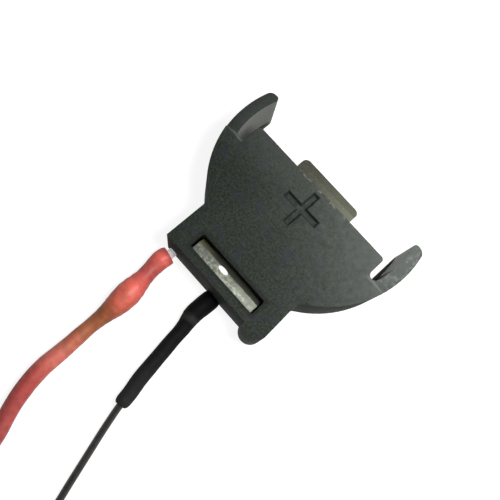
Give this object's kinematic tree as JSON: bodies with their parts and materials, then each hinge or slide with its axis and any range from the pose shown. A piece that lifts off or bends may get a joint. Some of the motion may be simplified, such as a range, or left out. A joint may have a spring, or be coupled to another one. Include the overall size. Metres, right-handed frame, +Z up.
{
  "type": "coin cell holder",
  "caption": "Low plastic holder that takes a coin cell from its open front between two spring arms, with sheet contacts and soldered, sleeved leads.",
  "frame": {"origin": "axis of the cell, at the underside of the housing", "axes": "+Y towards the open front where the cell goes in, +X to the right, +Z up out of the top plate"},
  "size_m": [0.0348, 0.0533, 0.0053],
  "materials": {
    "housing_plastic": "fine-grained dark greenish-grey moulded plastic",
    "positive_sheet": "bright tinned spring sheet, slightly wavy",
    "negative_sheet": "dull plated spring sheet with a brown to olive cast",
    "solder": "bright solder",
    "red_shrink": "glossy shrink sleeve, slightly translucent",
    "black_shrink": "satin shrink sleeve",
    "red_insulation": "smooth extruded insulation",
    "black_insulation": "smooth extruded insulation",
    "tie_plastic": "natural nylon band",
    "tinned_wire": "twisted tinned strands"
  },
  "bodies": {
    "root": {"housing": "housing_plastic", "positive_contact": "positive_sheet", "negative_contact": "negative_sheet", "positive_solder": "solder", "negative_solder": "solder", "red_sleeve": "red_shrink", "black_sleeve": "black_shrink", "red_lead": "red_insulation", "black_lead": "black_insulation", "red_lead_coil": "red_insulation", "black_lead_coil": "black_insulation", "red_coil_tie": "tie_plastic", "black_coil_tie": "tie_plastic", "red_lead_tip": "tinned_wire", "black_lead_tip": "tinned_wire"}
  },
  "joints": []
}
